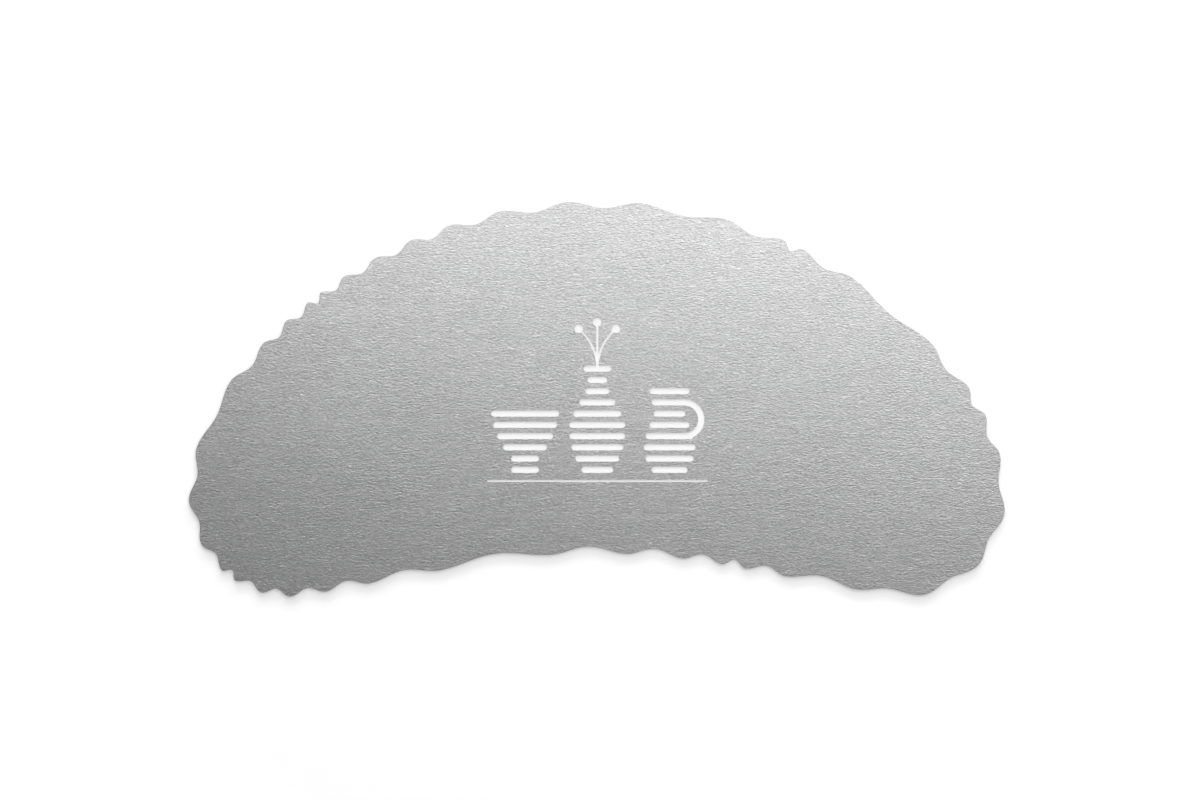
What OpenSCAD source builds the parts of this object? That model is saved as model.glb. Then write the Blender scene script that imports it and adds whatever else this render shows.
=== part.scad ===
// Kidney-shaped metal rib for smoothing and texturing clay, cut from one flat sheet.
// It lies flat: X runs from end to end, Y from the hollow edge to the crown, Z through the sheet.
// The origin is under the middle of the sheet, on the face that it lies on.
// Its edge is a cosine wave of scallops, laid along a body outline of smooth arcs.

/* [Sheet] */
// Thickness of the sheet
sheet_t = 0.5; // [0.3:0.05:1.2]

/* [Body outline, half way between the crests and the valleys of the scallops] */
// Length from end to end
body_l = 101; // [84:0.1:118]
// Height from the lowest points of the lobes to the top of the crown
body_h = 48.4; // [44:0.1:56]
// Radius of the round lobe at each end
lobe_r = 12.2; // [9:0.1:14]
// Angle that the crown's arc turns through, from the top to where it tightens into the shoulder
crown_turn = 52; // [40:0.5:60]
// Angle from the top at which the shoulder's arc runs into the lobe (90 is at the very end)
shoulder_turn = 84; // [72:0.5:90]
// How far the hollow edge rises above the lowest points of the lobes
hollow_rise = 5.4; // [2:0.1:9]
// Length of the straight stretch between the hollow's arc and each lobe
flank_l = 20; // [4:0.5:26]

/* [Scallops] */
// Depth of the scallops, from crest to valley
scallop_depth = 0.85; // [0.4:0.05:1]
// Distance from the top of the crown to the first crest on its right
first_crest = 5.3; // [0:0.1:12]

/* [Scallop widths from crest to crest, four at a time, going left from the first crest] */
// Over the top of the crown and down to its left
top_w = [9, 8.5, 6.5, 5]; // [2:0.5:16]
// Left shoulder
left_shoulder_w = [5, 4.5, 3.5, 2]; // [2:0.5:16]
// Above the left end
left_side_w = [3.5, 4, 6, 9.5]; // [2:0.5:16]
// Round the left end
left_end_w = [6.5, 5.5, 4, 2]; // [2:0.5:16]
// Under the left lobe
left_foot_w = [3.5, 3.5, 4.5, 5.5]; // [2:0.5:16]
// Along the hollow edge
hollow_w = [9, 14, 9.5, 7]; // [2:0.5:16]
// Under the right lobe
right_foot_w = [5, 3, 5, 9]; // [2:0.5:16]
// Round the right end
right_end_w = [8.5, 7.5, 7, 7.5]; // [2:0.5:16]
// Above the right end
right_side_w = [5, 4, 7, 13]; // [2:0.5:16]
// Right shoulder, up to the first crest
right_shoulder_w = [7, 2.5, 7.5, 11]; // [2:0.5:16]

/* [Etched mark] */
// Depth of the etching
mark_depth = 0.1; // [0.02:0.01:0.2]
// Height of the mark's foot line above the hollow edge
mark_rise = 8.6; // [4:0.1:12]
// Length of the foot line
foot_line_l = 27.5; // [24:0.5:34]
// Width of the bold strokes
bold_w = 0.8; // [0.4:0.05:1]
// Width of the thin strokes
thin_w = 0.3; // [0.15:0.05:0.6]
// Spacing of the bold strokes that make up a pot
row_pitch = 1.4; // [1.1:0.05:1.6]
// Distance from the middle of the vase to the middle of the bowl and of the jug
pot_spacing = 9; // [8.5:0.1:11]
// Height of the middle stem above the vase
stem_h = 5.8; // [3:0.1:8]
// Radius of the two curved stems
stem_r = 6.5; // [4:0.1:9]
// Diameter of the buds on the stems
bud_d = 1.1; // [0.6:0.1:1.5]

/* [Hidden] */

// Points along each scallop
SCALLOP_STEPS = 20;
// How far a cut runs past the face that it opens
CUT_PAST = 1;

// The body outline's right half runs through four arcs, for crown, shoulder, lobe and hollow, and the left
// half mirrors it. Bearings are in degrees, clockwise from +Y as seen from above.
function toward(bearing) = [sin(bearing), cos(bearing)];
function arc_length(radius, turn) = radius * turn * PI / 180;
function turn_of(radius, length) = length / radius * 180 / PI;

lobe_c = [body_l / 2 - lobe_r, lobe_r];

// Two steps in radius, from crown to shoulder and from shoulder to lobe, carry the arcs' centres from the
// middle of the rib to the lobe's centre. Its place along X and Y gives two equations for the two steps.
reach = [lobe_c.x, body_h - lobe_c.y - lobe_r];
crown_part = [sin(crown_turn), 1 - cos(crown_turn)];
shoulder_part = [sin(shoulder_turn), 1 - cos(shoulder_turn)];
both_parts = crown_part.x * shoulder_part.y - shoulder_part.x * crown_part.y;
crown_step = (reach.x * shoulder_part.y - shoulder_part.x * reach.y) / both_parts;
shoulder_step = (crown_part.x * reach.y - reach.x * crown_part.y) / both_parts;
shoulder_r = lobe_r + shoulder_step;
crown_r = shoulder_r + crown_step;
crown_c = [0, body_h - crown_r];
shoulder_c = crown_c + crown_step * toward(crown_turn);

// The hollow's arc curves the other way, and a straight flank of the given length joins it to the lobe
lobe_over_hollow = lobe_c.y - hollow_rise;
hollow_r = (pow(lobe_c.x, 2) + pow(lobe_over_hollow, 2) - pow(lobe_r, 2) - pow(flank_l, 2))
    / (2 * (lobe_r - lobe_over_hollow));
hollow_c = [0, hollow_rise - hollow_r];
flank_slope = atan2(lobe_c.x, lobe_c.y - hollow_c.y) - atan2(flank_l, lobe_r + hollow_r);

// Distances along the right half, from the top of the crown to the end of each stretch
crown_end = arc_length(crown_r, crown_turn);
shoulder_end = crown_end + arc_length(shoulder_r, shoulder_turn - crown_turn);
lobe_end = shoulder_end + arc_length(lobe_r, 180 + flank_slope - shoulder_turn);
flank_end = lobe_end + flank_l;
half_edge = flank_end + arc_length(hollow_r, flank_slope);
edge_l = 2 * half_edge;

// A place on the outline is its point and the direction that points out of the sheet there
function on_arc(centre, radius, bearing) = [centre + radius * toward(bearing), toward(bearing)];
function on_flank(along) =
    [on_arc(lobe_c, lobe_r, 180 + flank_slope)[0] + along * toward(flank_slope - 90), -toward(flank_slope)];
function on_hollow(bearing) = [hollow_c + hollow_r * toward(bearing), -toward(bearing)];
function on_right_half(s) =
    s < crown_end ? on_arc(crown_c, crown_r, turn_of(crown_r, s))
    : s < shoulder_end ? on_arc(shoulder_c, shoulder_r, crown_turn + turn_of(shoulder_r, s - crown_end))
    : s < lobe_end ? on_arc(lobe_c, lobe_r, shoulder_turn + turn_of(lobe_r, s - shoulder_end))
    : s < flank_end ? on_flank(s - lobe_end)
    : on_hollow(flank_slope - turn_of(hollow_r, s - flank_end));
function mirrored(place) = [for (v = place) [-v.x, v.y]];

// Going left from the top, s runs once round the whole outline
function on_outline(s) =
    let (wrapped = (s + edge_l) % edge_l)
    wrapped < half_edge ? mirrored(on_right_half(wrapped)) : on_right_half(edge_l - wrapped);

// The scallops share out the edge in proportion to their widths, so the last ends where the first begins
scallop_w = concat(
    top_w, left_shoulder_w, left_side_w, left_end_w, left_foot_w,
    hollow_w, right_foot_w, right_end_w, right_side_w, right_shoulder_w);
function sum_to(list, count, i = 0) = i < count ? list[i] + sum_to(list, count, i + 1) : 0;
width_scale = edge_l / sum_to(scallop_w, len(scallop_w));
edge_points = [
    for (i = [0:len(scallop_w) - 1], k = [0:SCALLOP_STEPS - 1])
        let (
            part = k / SCALLOP_STEPS,
            s = width_scale * (sum_to(scallop_w, i) + part * scallop_w[i]) - first_crest,
            place = on_outline(s))
        place[0] + scallop_depth / 2 * cos(360 * part) * place[1]
];

// The middle of the box round the scalloped outline goes over the origin
edge_x = [for (p = edge_points) p.x];
edge_y = [for (p = edge_points) p.y];
middle = [min(edge_x) + max(edge_x), min(edge_y) + max(edge_y)] / 2;

// The etched mark: a bowl, a vase with three stems and a jug stand on a line, drawn in level strokes.
// Each list has the lengths of one pot's strokes, from its foot up.
BOWL_ROWS = [3.5, 3.5, 5.5, 7, 8, 8.5];
VASE_ROWS = [4, 5.5, 6.5, 7, 7, 6, 4.5, 3, 2.5, 3.5];
JUG_ROWS = [4.5, 6, 6.5, 6, 5, 4, 4.5, 5];
// The two strokes of the jug that its handle grows from, counted from 0 at the foot
HANDLE_ROWS = [3, 6];
// How far a curved stem turns away from upright
STEM_TURN = 50;

module dot(diameter) {
    circle(d = diameter, $fn = 32);
}

module stroke(length, width) {
    square([length - width, width], center = true);
    for (side = [-1, 1]) translate([side * (length - width) / 2, 0]) dot(width);
}

// A stroke bent round the origin, from one bearing to another up to half a turn on
module bent_stroke(radius, width, from, to) {
    past = 2 * radius;
    corners = [for (part = [0:2]) past * toward(from + (to - from) * part / 2)];
    intersection() {
        difference() {
            circle(r = radius + width / 2, $fn = 96);
            circle(r = radius - width / 2, $fn = 96);
        }
        polygon(concat([[0, 0]], corners));
    }
    for (b = [from, to]) translate(radius * toward(b)) dot(width);
}

module pot(rows) {
    for (i = [0:len(rows) - 1]) translate([0, i * row_pitch]) stroke(rows[i], bold_w);
}

module handle() {
    handle_r = (HANDLE_ROWS[1] - HANDLE_ROWS[0]) / 2 * row_pitch;
    upper_stroke_end = (JUG_ROWS[HANDLE_ROWS[1]] - bold_w) / 2;
    translate([upper_stroke_end, HANDLE_ROWS[0] * row_pitch + handle_r])
        bent_stroke(handle_r, bold_w, 0, 180);
}

module stems() {
    translate([0, stem_h / 2]) rotate(90) stroke(stem_h + thin_w, thin_w);
    translate([0, stem_h]) dot(bud_d);
    for (side = [0, 1]) mirror([side, 0]) translate([stem_r, 0]) {
        bent_stroke(stem_r, thin_w, -90, STEM_TURN - 90);
        translate(stem_r * toward(STEM_TURN - 90)) dot(bud_d);
    }
}

module mark() {
    stroke(foot_line_l, thin_w);
    translate([0, row_pitch]) {
        translate([-pot_spacing, 0]) pot(BOWL_ROWS);
        pot(VASE_ROWS);
        translate([0, (len(VASE_ROWS) - 1) * row_pitch]) stems();
        translate([pot_spacing, 0]) {
            pot(JUG_ROWS);
            handle();
        }
    }
}

module rib_blade() {
    color([0.74, 0.74, 0.74])
        translate(-middle)
            difference() {
                linear_extrude(sheet_t) polygon(edge_points);
                translate([0, hollow_rise + mark_rise, sheet_t - mark_depth])
                    linear_extrude(mark_depth + CUT_PAST) mark();
            }
}

rib_blade();
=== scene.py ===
"""A scalloped pottery rib of thin brushed steel, lying on a white floor and seen from straight above."""

import math

import bmesh
import bpy
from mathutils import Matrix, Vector
from mathutils.geometry import delaunay_2d_cdt


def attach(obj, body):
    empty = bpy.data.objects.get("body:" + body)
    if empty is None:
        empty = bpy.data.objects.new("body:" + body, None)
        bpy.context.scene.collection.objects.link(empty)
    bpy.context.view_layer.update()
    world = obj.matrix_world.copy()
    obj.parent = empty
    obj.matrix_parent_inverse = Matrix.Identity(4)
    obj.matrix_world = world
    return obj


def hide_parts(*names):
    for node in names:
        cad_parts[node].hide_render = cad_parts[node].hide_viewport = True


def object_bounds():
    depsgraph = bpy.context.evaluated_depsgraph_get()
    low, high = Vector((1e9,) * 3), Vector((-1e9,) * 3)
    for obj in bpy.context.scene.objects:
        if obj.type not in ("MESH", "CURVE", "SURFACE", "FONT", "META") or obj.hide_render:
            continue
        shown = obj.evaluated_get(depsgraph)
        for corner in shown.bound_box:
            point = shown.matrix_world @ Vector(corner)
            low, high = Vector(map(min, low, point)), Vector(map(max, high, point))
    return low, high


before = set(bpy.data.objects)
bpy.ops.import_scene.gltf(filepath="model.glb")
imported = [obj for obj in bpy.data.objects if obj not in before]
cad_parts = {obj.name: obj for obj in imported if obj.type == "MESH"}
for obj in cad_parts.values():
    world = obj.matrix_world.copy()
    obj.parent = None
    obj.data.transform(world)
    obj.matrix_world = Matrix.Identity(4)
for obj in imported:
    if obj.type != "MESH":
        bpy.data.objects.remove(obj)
cad_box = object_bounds()

MM = 0.001

# The photograph: its size, and the pixels that the rib's box reaches in it
PHOTO_W, PHOTO_H = 1200, 800
RIB_LEFT, RIB_RIGHT = 188.7, 1004.8
RIB_TOP, RIB_BOTTOM = 201.7, 597.2
CAMERA_HEIGHT = 425 * MM

# The sheet's edge, rounded by deburring on both faces
RIM_RADIUS = 0.08 * MM
RIM_STEPS = 5
# Edges that turn by more than this are shaded sharp
SHARP_ANGLE = math.radians(50)

# Points closer than this are one point, and the finer limit holds where flat faces are filled
WELD = 0.001 * MM
FILL_WELD = WELD / 10
# A face looks up where its normal's height is over this
LOOKS_UP = 0.5
# The blade's material slots
FACE, RIM, ETCHED = range(3)

# Ranges of a noise's values, which lie round 0.5
NEARLY_ALL, MOST, MIDDLE, HIGH = (0.2, 0.8), (0.25, 0.75), (0.3, 0.7), (0.7, 0.8)

# Brushed steel: the cell of each noise along X, Y and Z, and how much lighter or darker it makes the steel.
# Flecks are painted glints, light dashes that only make it lighter, and grooves change its slope instead of
# its grey.
STEEL_GREY = 0.71
FINE_CELL, FINE_SHADE = (0.27 * MM, 0.1 * MM, 1 * MM), 0.2
LONG_CELL, LONG_SHADE = (3.5 * MM, 0.16 * MM, 1 * MM), 0.05
CLOUD_CELL, CLOUD_SHADE = (14 * MM, 7 * MM, 5 * MM), 0.01
PAINTED_GLINT_CELL, PAINTED_GLINT_SHADE = (1 * MM, 0.2 * MM, 1 * MM), 0.13
GROOVE_CELL, GROOVE_DEPTH = (0.32 * MM, 0.13 * MM, 1 * MM), 0.013 * MM
STEEL_ROUGHNESS = (0.315, 0.345)
STEEL_ANISOTROPY = 0.28

# Deburred steel, round the edge and in the mark's walls
DEBURRED_CELL = (0.25 * MM, 0.25 * MM, 0.08 * MM)
DEBURRED_GREY = (0.58, 0.7)
DEBURRED_ROUGHNESS = (0.32, 0.42)

# The white floor of the mark
ETCHED_CELL = (0.12 * MM, 0.12 * MM, 0.12 * MM)
ETCHED_GREY = (0.98, 1.0)
ETCHED_ROUGHNESS = 0.7
ETCHED_SPECULAR = 0.3

# The studio floor, a square that lies just under the sheet
FLOOR_SIDE = 3.0
FLOOR_LEVEL = -0.02 * MM
# Its glow round the rib, and the distances between which the glow grows to plain white
FLOOR_GLOW = 0.06
CLEAR_RADIUS, WHITE_RADIUS = 60 * MM, 300 * MM

# How brightly the room shines, where 1 is white, by the height of a direction (0 is level, 1 straight up)
ROOM = ((0.08, 1.0), (0.16, 0.43), (0.44, 0.43), (0.95, 0.05))
WHITE = (1, 1, 1, 1)


def loops_at(mesh, height):
    """The closed outlines of the upward faces at a height, each with the metal on its left."""
    flat = [
        face for face in mesh.faces
        if face.normal.z > LOOKS_UP and all(abs(v.co.z - height) < WELD for v in face.verts)]
    steps = [(loop.vert.index, loop.link_loop_next.vert.index) for face in flat for loop in face.loops]
    both_ways = set(steps)
    following = {a: b for a, b in steps if (b, a) not in both_ways}
    outlines = []
    while following:
        start, point = following.popitem()
        outline = [start]
        while point != start:
            outline.append(point)
            point = following.pop(point)
        outlines.append([mesh.verts[i].co.to_2d() for i in outline])
    return outlines


def inset(outline, distance):
    """The outline moved into the metal, at the same distance all along."""
    moved = []
    for before, point, after in zip(outline[-1:] + outline[:-1], outline, outline[1:] + outline[:1]):
        along = ((point - before).normalized(), (after - point).normalized())
        inward = [Vector((-d.y, d.x)) for d in along]
        moved.append(point + (inward[0] + inward[1]) * (distance / (1 + inward[0].dot(inward[1]))))
    return moved


def add_ring(mesh, outline, height):
    """The outline's points as corners of the mesh, at a height."""
    return [mesh.verts.new((p.x, p.y, height)) for p in outline]


def add_band(mesh, upper, lower, slot):
    """The faces between two rings, looking away from the metal on the rings' left."""
    for i, corner in enumerate(upper):
        face = mesh.faces.new((lower[i - 1], lower[i], corner, upper[i - 1]))
        face.material_index = slot


def add_cap(mesh, rings, slot, up=True):
    """The flat faces inside the rings, apart from the holes, which are rings inside another ring."""
    verts = [v for ring in rings for v in ring]
    edges = []
    for ring in rings:
        first = len(edges)
        edges += [(first + i, first + (i + 1) % len(ring)) for i in range(len(ring))]
    points = [v.co.to_2d() for v in verts]
    sides = [(points[a], points[b]) for a, b in edges]
    made_points, _, made_faces, origins, _, _ = delaunay_2d_cdt(points, edges, [], 0, FILL_WELD)
    for corners in made_faces:
        middle = sum((made_points[i] for i in corners), Vector((0, 0))) / 3
        crossings = sum(
            (a.y > middle.y) != (b.y > middle.y)
            and middle.x < a.x + (middle.y - a.y) / (b.y - a.y) * (b.x - a.x)
            for a, b in sides)
        if crossings % 2:
            corner_verts = [verts[origins[i][0]] for i in corners]
            face = mesh.faces.new(corner_verts if up else corner_verts[::-1])
            face.material_index = slot


def rim_profile(sheet_t):
    """(distance into the metal, height) of each ring, from the top face round the edge to the underside."""
    turns = [math.pi / 2 * i / RIM_STEPS for i in range(RIM_STEPS + 1)]
    top = [(RIM_RADIUS * (1 - math.sin(a)), sheet_t - RIM_RADIUS * (1 - math.cos(a))) for a in turns]
    return top + [(distance, sheet_t - height) for distance, height in reversed(top)]


def make_blade():
    """The sheet with a rounded edge, and the mark etched into its upper face."""
    cad = bmesh.new()
    cad.from_mesh(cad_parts["rib_blade"].data)
    bmesh.ops.remove_doubles(cad, verts=cad.verts, dist=WELD)
    cad.verts.index_update()
    cad.verts.ensure_lookup_table()
    _, etched_floor, top = sorted({round(v.co.z / WELD) * WELD for v in cad.verts})
    *mark, edge = sorted(loops_at(cad, top), key=lambda outline: max(p.x for p in outline))
    cad.free()

    mesh = bmesh.new()
    rings = [add_ring(mesh, inset(edge, distance), height) for distance, height in rim_profile(top)]
    for upper, lower in zip(rings, rings[1:]):
        add_band(mesh, upper, lower, RIM)
    mark_top = [add_ring(mesh, outline, top) for outline in mark]
    mark_floor = [add_ring(mesh, outline, etched_floor) for outline in mark]
    for upper, lower in zip(mark_top, mark_floor):
        add_band(mesh, upper, lower, RIM)
    add_cap(mesh, [rings[0]] + mark_top, FACE)
    add_cap(mesh, [rings[-1]], FACE, up=False)
    add_cap(mesh, mark_floor, ETCHED)
    data = bpy.data.meshes.new("steel_blade")
    mesh.to_mesh(data)
    mesh.free()
    data.set_sharp_from_angle(angle=SHARP_ANGLE)
    for face in data.polygons:
        face.use_smooth = face.material_index == RIM
    blade = bpy.data.objects.new("steel_blade", data)
    bpy.context.scene.collection.objects.link(blade)
    return blade


def node_of(tree, kind, **values):
    """A new shader node, with its sockets and settings set by name."""
    node = tree.nodes.new(kind)
    for name, value in values.items():
        if name in node.inputs:
            node.inputs[name].default_value = value
        else:
            setattr(node, name, value)
    return node


def object_place(tree):
    """The shaded point's place in its object."""
    return tree.nodes.new("ShaderNodeTexCoord").outputs["Object"]


def noise_along(tree, place, cell, detail):
    """Noise whose cells have the given size along X, Y and Z."""
    mapping = node_of(tree, "ShaderNodeMapping", vector_type="POINT", Scale=[1 / c for c in cell])
    tree.links.new(place, mapping.inputs["Vector"])
    noise = node_of(tree, "ShaderNodeTexNoise", Scale=1.0, Detail=detail, Roughness=0.5)
    tree.links.new(mapping.outputs["Vector"], noise.inputs["Vector"])
    return noise.outputs["Fac"]


def ranged(tree, value, before, after):
    """The value moved from one range to another, and kept inside the second."""
    node = node_of(tree, "ShaderNodeMapRange", clamp=True)
    for name, number in zip(("From Min", "From Max", "To Min", "To Max"), before + after):
        node.inputs[name].default_value = number
    tree.links.new(value, node.inputs["Value"])
    return node.outputs["Result"]


def combined(tree, operation, first, *others):
    """Numbers and node outputs put together by one operation, from left to right."""
    result = first
    for other in others:
        node = node_of(tree, "ShaderNodeMath", operation=operation)
        for socket, value in zip(node.inputs, (result, other)):
            if isinstance(value, (int, float)):
                socket.default_value = value
            else:
                tree.links.new(value, socket)
        result = node.outputs["Value"]
    return result


def new_material(name):
    """A new material, its node tree and its shader."""
    material = bpy.data.materials.new(name)
    material.use_nodes = True
    tree = material.node_tree
    shader = next(n for n in tree.nodes if n.type == "BSDF_PRINCIPLED")
    return material, tree, shader


def set_grey(tree, shader, level):
    """Colours the shader grey, at a level from 0 to 1 that nodes work out."""
    colour = node_of(tree, "ShaderNodeCombineColor")
    for socket in colour.inputs[:3]:
        tree.links.new(level, socket)
    tree.links.new(colour.outputs["Color"], shader.inputs["Base Color"])


def across_grain(tree):
    """The direction in which the brushing spreads a highlight: across the sheet's length."""
    turned = node_of(
        tree, "ShaderNodeVectorTransform", vector_type="VECTOR", convert_from="OBJECT", convert_to="WORLD",
        Vector=(0, 1, 0))
    return turned.outputs["Vector"]


def brushed_steel():
    """Both faces of the sheet, brushed along its length."""
    material, tree, shader = new_material("brushed_steel")
    place = object_place(tree)
    fine = noise_along(tree, place, FINE_CELL, detail=1.0)
    long = noise_along(tree, place, LONG_CELL, detail=2.0)
    # The flecks are painted glints: light dashes added to the steel's grey
    painted_glint = noise_along(tree, place, PAINTED_GLINT_CELL, detail=0.0)
    groove = noise_along(tree, place, GROOVE_CELL, detail=0.0)
    cloud = noise_along(tree, place, CLOUD_CELL, detail=2.0)
    grey = combined(
        tree, "ADD",
        ranged(tree, fine, NEARLY_ALL, (-FINE_SHADE, FINE_SHADE)),
        ranged(tree, long, MOST, (-LONG_SHADE, LONG_SHADE)),
        ranged(tree, painted_glint, HIGH, (0.0, PAINTED_GLINT_SHADE)),
        ranged(tree, cloud, MIDDLE, (-CLOUD_SHADE, CLOUD_SHADE)),
        STEEL_GREY)
    set_grey(tree, shader, grey)
    shader.inputs["Metallic"].default_value = 1.0
    tree.links.new(ranged(tree, long, MOST, STEEL_ROUGHNESS), shader.inputs["Roughness"])
    shader.inputs["Anisotropic"].default_value = STEEL_ANISOTROPY
    tree.links.new(across_grain(tree), shader.inputs["Tangent"])
    bump = node_of(tree, "ShaderNodeBump", Strength=1.0, Distance=GROOVE_DEPTH)
    tree.links.new(groove, bump.inputs["Height"])
    tree.links.new(bump.outputs["Normal"], shader.inputs["Normal"])
    return material


def deburred_steel():
    """The plainer, slightly darker steel of the edge and the mark's walls."""
    material, tree, shader = new_material("deburred_steel")
    grain = noise_along(tree, object_place(tree), DEBURRED_CELL, detail=3.0)
    set_grey(tree, shader, ranged(tree, grain, MOST, DEBURRED_GREY))
    shader.inputs["Metallic"].default_value = 1.0
    tree.links.new(ranged(tree, grain, MOST, DEBURRED_ROUGHNESS), shader.inputs["Roughness"])
    return material


def etched_white():
    """The dull white of the mark's floor."""
    material, tree, shader = new_material("etched_white")
    grain = noise_along(tree, object_place(tree), ETCHED_CELL, detail=2.0)
    set_grey(tree, shader, ranged(tree, grain, MOST, ETCHED_GREY))
    shader.inputs["Roughness"].default_value = ETCHED_ROUGHNESS
    shader.inputs["Specular IOR Level"].default_value = ETCHED_SPECULAR
    return material


def white_floor():
    """Dull white that keeps the rib's shadow. Away from the rib its glow makes the background white."""
    material, tree, shader = new_material("white_floor")
    shader.inputs["Base Color"].default_value = WHITE
    shader.inputs["Roughness"].default_value = 1.0
    shader.inputs["Specular IOR Level"].default_value = 0.0
    path = tree.nodes.new("ShaderNodeLightPath")
    seen = combined(
        tree, "MAXIMUM",
        path.outputs["Is Camera Ray"], path.outputs["Is Glossy Ray"], path.outputs["Is Transmission Ray"])
    away = node_of(tree, "ShaderNodeVectorMath", operation="LENGTH")
    tree.links.new(object_place(tree), away.inputs[0])
    glow = ranged(tree, away.outputs["Value"], (CLEAR_RADIUS, WHITE_RADIUS), (FLOOR_GLOW, 1.0))
    shader.inputs["Emission Color"].default_value = WHITE
    tree.links.new(combined(tree, "MULTIPLY", seen, glow), shader.inputs["Emission Strength"])
    return material


def make_floor():
    """The studio floor, which isn't part of the rib."""
    half = FLOOR_SIDE / 2
    corners = [(x, y, FLOOR_LEVEL) for x, y in ((-half, -half), (half, -half), (half, half), (-half, half))]
    mesh = bpy.data.meshes.new("studio_floor")
    mesh.from_pydata(corners, [], [(0, 1, 2, 3)])
    mesh.materials.append(white_floor())
    floor = bpy.data.objects.new("studio_floor", mesh)
    bpy.context.scene.collection.objects.link(floor)


def make_world():
    """The grey room that the steel mirrors, with a white horizon and a dark ceiling."""
    world = bpy.data.worlds.new("studio")
    bpy.context.scene.world = world
    world.use_nodes = True
    tree = world.node_tree
    background = next(n for n in tree.nodes if n.type == "BACKGROUND")
    parts = tree.nodes.new("ShaderNodeSeparateXYZ")
    tree.links.new(tree.nodes.new("ShaderNodeTexCoord").outputs["Generated"], parts.inputs["Vector"])
    steps = [
        ranged(tree, parts.outputs["Z"], (low, high), (0.0, high_level - low_level))
        for (low, low_level), (high, high_level) in zip(ROOM, ROOM[1:])]
    background.inputs["Color"].default_value = WHITE
    tree.links.new(combined(tree, "ADD", ROOM[0][1], *steps), background.inputs["Strength"])


def softbox(name, place, size, level, aim=(0, 0, 0), mirrored=False):
    """An area lamp that shines at a level where 1 is white. The steel shows it only if it is mirrored."""
    lamp = bpy.data.lights.new(name, "AREA")
    lamp.shape = "RECTANGLE"
    lamp.size, lamp.size_y = size
    lamp.energy = level * math.pi * size[0] * size[1]
    box = bpy.data.objects.new(name, lamp)
    box.location = place
    box.rotation_euler = (Vector(aim) - Vector(place)).to_track_quat("-Z", "Y").to_euler()
    box.visible_camera = False
    box.visible_glossy = mirrored
    bpy.context.scene.collection.objects.link(box)


def make_camera():
    """The photograph's camera, straight above, with the rib's box on the pixels that it has there."""
    low, high = cad_box
    pixel = (high.x - low.x) / (RIB_RIGHT - RIB_LEFT)
    data = bpy.data.cameras.new("photo_camera")
    data.lens = data.sensor_width * (CAMERA_HEIGHT - high.z) / (PHOTO_W * pixel)
    camera = bpy.data.objects.new("photo_camera", data)
    middle = (low + high) / 2
    camera.location = (
        middle.x + (PHOTO_W / 2 - (RIB_LEFT + RIB_RIGHT) / 2) * pixel,
        middle.y - (PHOTO_H / 2 - (RIB_TOP + RIB_BOTTOM) / 2) * pixel,
        CAMERA_HEIGHT)
    bpy.context.scene.collection.objects.link(camera)
    bpy.context.scene.camera = camera


make_camera()
blade = make_blade()
for material in (brushed_steel(), deburred_steel(), etched_white()):
    blade.data.materials.append(material)
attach(blade, "root")
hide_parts("rib_blade")
make_floor()
make_world()
# The leaning softbox gives the steel its gradient, and the others light the floor and the mark
softbox(
    "leaning_softbox", place=(0.081, 0.118, 0.34), size=(0.438, 0.254), level=1.85, aim=(0.04, -0.182, 0),
    mirrored=True)
softbox("low_softbox", place=(0, 1.5, 0.487), size=(1.6, 0.33), level=8.3)
softbox("middle_softbox", place=(0, 1.5, 1.01), size=(1.6, 0.64), level=1.68)
softbox("overhead_softbox", place=(0, -0.2, 0.8), size=(0.9, 0.9), level=0.7)
bpy.context.scene.view_settings.view_transform = "Standard"
